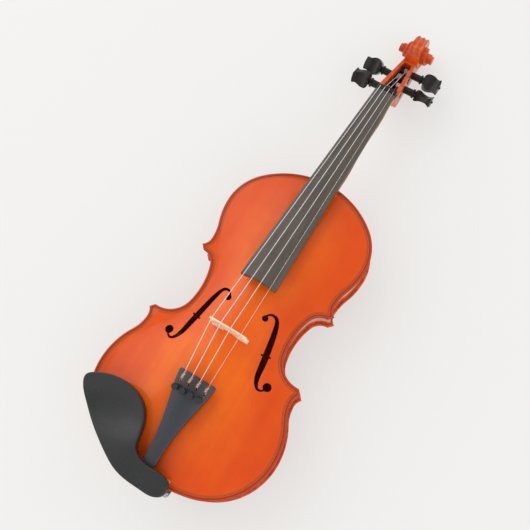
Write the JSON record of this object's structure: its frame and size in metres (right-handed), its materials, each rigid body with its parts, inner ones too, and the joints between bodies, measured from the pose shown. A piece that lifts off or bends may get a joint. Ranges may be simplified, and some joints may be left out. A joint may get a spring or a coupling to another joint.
{
  "type": "violin",
  "caption": "Full-size violin with arched plates, f-holes, scroll, friction pegs, tailpiece with built-in fine tuners and a clamped chin rest.",
  "frame": {"origin": "crown of the back's arch, straight under the bridge, on the centre line", "axes": "+Y from the end button to the scroll, +X to the treble side, +Z out of the belly"},
  "size_m": [0.208, 0.5991, 0.105],
  "materials": {
    "spruce": "gloss orange-red varnish over spruce",
    "maple": "gloss orange-red varnish over flamed maple",
    "bare_wood": "bare inside",
    "ebony": "oiled ebony",
    "purfling": "black and white inlay",
    "bridge_maple": "bare maple",
    "black_composite": "satin black",
    "string_steel": "wound and plain steel",
    "chrome": "polished",
    "brass": "bare",
    "nylon": "black nylon",
    "cork": "bare cork"
  },
  "bodies": {
    "violin": {"top_plate": "spruce", "back_plate": "maple", "purfling": "purfling", "linings": "bare_wood", "top_block": "bare_wood", "bottom_block": "bare_wood", "corner_blocks": "bare_wood", "bass_bar": "bare_wood", "sound_post": "bare_wood", "neck_and_scroll": "maple", "fingerboard": "ebony", "nut": "ebony", "bridge": "bridge_maple", "tailpiece": "black_composite", "tuner_pivot_pin": "chrome", "saddle": "ebony", "end_button": "ebony", "tailgut": "nylon", "tailgut_nuts": "brass", "chinrest_plate": "ebony", "chinrest_cork": "cork", "chinrest_posts": "chrome", "rib_lower_bass": "maple", "rib_lower_treble": "maple", "rib_middle_bass": "maple", "rib_middle_treble": "maple", "rib_upper_bass": "maple", "rib_upper_treble": "maple", "string_g": "string_steel", "string_d": "string_steel", "string_a": "string_steel", "string_e": "string_steel"},
    "peg_g_body": {"peg_g": "ebony", "string_winding_g": "string_steel"},
    "tuner_rod_g": {"tuner_screw_g": "chrome"},
    "tuner_head_g": {"tuner_knob_g": "black_composite"},
    "tuner_arm_g": {"tuner_lever_g": "chrome", "string_ball_g": "brass"},
    "peg_d_body": {"peg_d": "ebony", "string_winding_d": "string_steel"},
    "tuner_rod_d": {"tuner_screw_d": "chrome"},
    "tuner_head_d": {"tuner_knob_d": "black_composite"},
    "tuner_arm_d": {"tuner_lever_d": "chrome", "string_ball_d": "brass"},
    "peg_a_body": {"peg_a": "ebony", "string_winding_a": "string_steel"},
    "tuner_rod_a": {"tuner_screw_a": "chrome"},
    "tuner_head_a": {"tuner_knob_a": "black_composite"},
    "tuner_arm_a": {"tuner_lever_a": "chrome", "string_ball_a": "brass"},
    "peg_e_body": {"peg_e": "ebony", "string_winding_e": "string_steel"},
    "tuner_rod_e": {"tuner_screw_e": "chrome"},
    "tuner_head_e": {"tuner_knob_e": "black_composite"},
    "tuner_arm_e": {"tuner_lever_e": "chrome", "string_ball_e": "brass"},
    "barrel_1": {"chinrest_barrel_1": "chrome"},
    "barrel_2": {"chinrest_barrel_2": "chrome"},
    "clamp_foot": {"chinrest_foot": "chrome", "chinrest_foot_cork": "cork"}
  },
  "joints": [
    {"name": "peg_g_turn", "type": "hinge", "parent": "violin", "child": "peg_g_body", "pos_m": [-0.011, 0.33941, 0.02588], "axis": [-1, 0, 0], "continuous": true},
    {"name": "tuner_g_travel", "type": "slide", "parent": "violin", "child": "tuner_rod_g", "axis": [0, 0.2073, -0.9783], "range_m": [-0.0015, 0.0015]},
    {"name": "tuner_g_knob", "type": "hinge", "parent": "tuner_rod_g", "child": "tuner_head_g", "pos_m": [-0.0138, -0.07259, 0.0756], "axis": [0, 0.2073, -0.9783], "range_deg": [-1201, 1201]},
    {"name": "tuner_g_lever", "type": "hinge", "parent": "violin", "child": "tuner_arm_g", "pos_m": [-0.0138, -0.05906, 0.06967], "axis": [1, 0, 0], "range_deg": [-7.17, 7.17]},
    {"name": "peg_d_turn", "type": "hinge", "parent": "violin", "child": "peg_d_body", "pos_m": [-0.011, 0.36513, 0.01732], "axis": [-1, 0, 0], "continuous": true},
    {"name": "tuner_d_travel", "type": "slide", "parent": "violin", "child": "tuner_rod_d", "axis": [0, 0.2073, -0.9783], "range_m": [-0.0015, 0.0015]},
    {"name": "tuner_d_knob", "type": "hinge", "parent": "tuner_rod_d", "child": "tuner_head_d", "pos_m": [-0.0046, -0.07259, 0.0756], "axis": [0, 0.2073, -0.9783], "range_deg": [-1201, 1201]},
    {"name": "tuner_d_lever", "type": "hinge", "parent": "violin", "child": "tuner_arm_d", "pos_m": [-0.0046, -0.05906, 0.06967], "axis": [1, 0, 0], "range_deg": [-7.17, 7.17]},
    {"name": "peg_a_turn", "type": "hinge", "parent": "violin", "child": "peg_a_body", "pos_m": [0.011, 0.37707, 0.0134], "axis": [1, 0, 0], "continuous": true},
    {"name": "tuner_a_travel", "type": "slide", "parent": "violin", "child": "tuner_rod_a", "axis": [0, 0.2073, -0.9783], "range_m": [-0.0015, 0.0015]},
    {"name": "tuner_a_knob", "type": "hinge", "parent": "tuner_rod_a", "child": "tuner_head_a", "pos_m": [0.0046, -0.07259, 0.0756], "axis": [0, 0.2073, -0.9783], "range_deg": [-1201, 1201]},
    {"name": "tuner_a_lever", "type": "hinge", "parent": "violin", "child": "tuner_arm_a", "pos_m": [0.0046, -0.05906, 0.06967], "axis": [1, 0, 0], "range_deg": [-7.17, 7.17]},
    {"name": "peg_e_turn", "type": "hinge", "parent": "violin", "child": "peg_e_body", "pos_m": [0.011, 0.35154, 0.02183], "axis": [1, 0, 0], "continuous": true},
    {"name": "tuner_e_travel", "type": "slide", "parent": "violin", "child": "tuner_rod_e", "axis": [0, 0.2073, -0.9783], "range_m": [-0.0015, 0.0015]},
    {"name": "tuner_e_knob", "type": "hinge", "parent": "tuner_rod_e", "child": "tuner_head_e", "pos_m": [0.0138, -0.07259, 0.0756], "axis": [0, 0.2073, -0.9783], "range_deg": [-1201, 1201]},
    {"name": "tuner_e_lever", "type": "hinge", "parent": "violin", "child": "tuner_arm_e", "pos_m": [0.0138, -0.05906, 0.06967], "axis": [1, 0, 0], "range_deg": [-7.17, 7.17]},
    {"name": "chinrest_barrel_1_turn", "type": "hinge", "parent": "violin", "child": "barrel_1", "pos_m": [-0.02, -0.1658, 0.03], "axis": [0, 0, 1], "range_deg": [0, 1543.5]},
    {"name": "chinrest_barrel_2_turn", "type": "hinge", "parent": "violin", "child": "barrel_2", "pos_m": [0.02, -0.1658, 0.03], "axis": [0, 0, 1], "range_deg": [0, 1543.5]},
    {"name": "chinrest_foot_travel", "type": "slide", "parent": "violin", "child": "clamp_foot", "axis": [0, 0, -1], "range_m": [0, 0.003]}
  ],
  "couplings": [
    {"joint": "tuner_g_knob", "follows": "tuner_g_travel", "rad_per_m": 13963},
    {"joint": "tuner_g_lever", "follows": "tuner_g_travel", "rad_per_m": 83.333},
    {"joint": "tuner_d_knob", "follows": "tuner_d_travel", "rad_per_m": 13963},
    {"joint": "tuner_d_lever", "follows": "tuner_d_travel", "rad_per_m": 83.333},
    {"joint": "tuner_a_knob", "follows": "tuner_a_travel", "rad_per_m": 13963},
    {"joint": "tuner_a_lever", "follows": "tuner_a_travel", "rad_per_m": 83.333},
    {"joint": "tuner_e_knob", "follows": "tuner_e_travel", "rad_per_m": 13963},
    {"joint": "tuner_e_lever", "follows": "tuner_e_travel", "rad_per_m": 83.333},
    {"joint": "chinrest_barrel_1_turn", "follows": "chinrest_foot_travel", "rad_per_m": 8976},
    {"joint": "chinrest_barrel_2_turn", "follows": "chinrest_foot_travel", "rad_per_m": 8976}
  ]
}
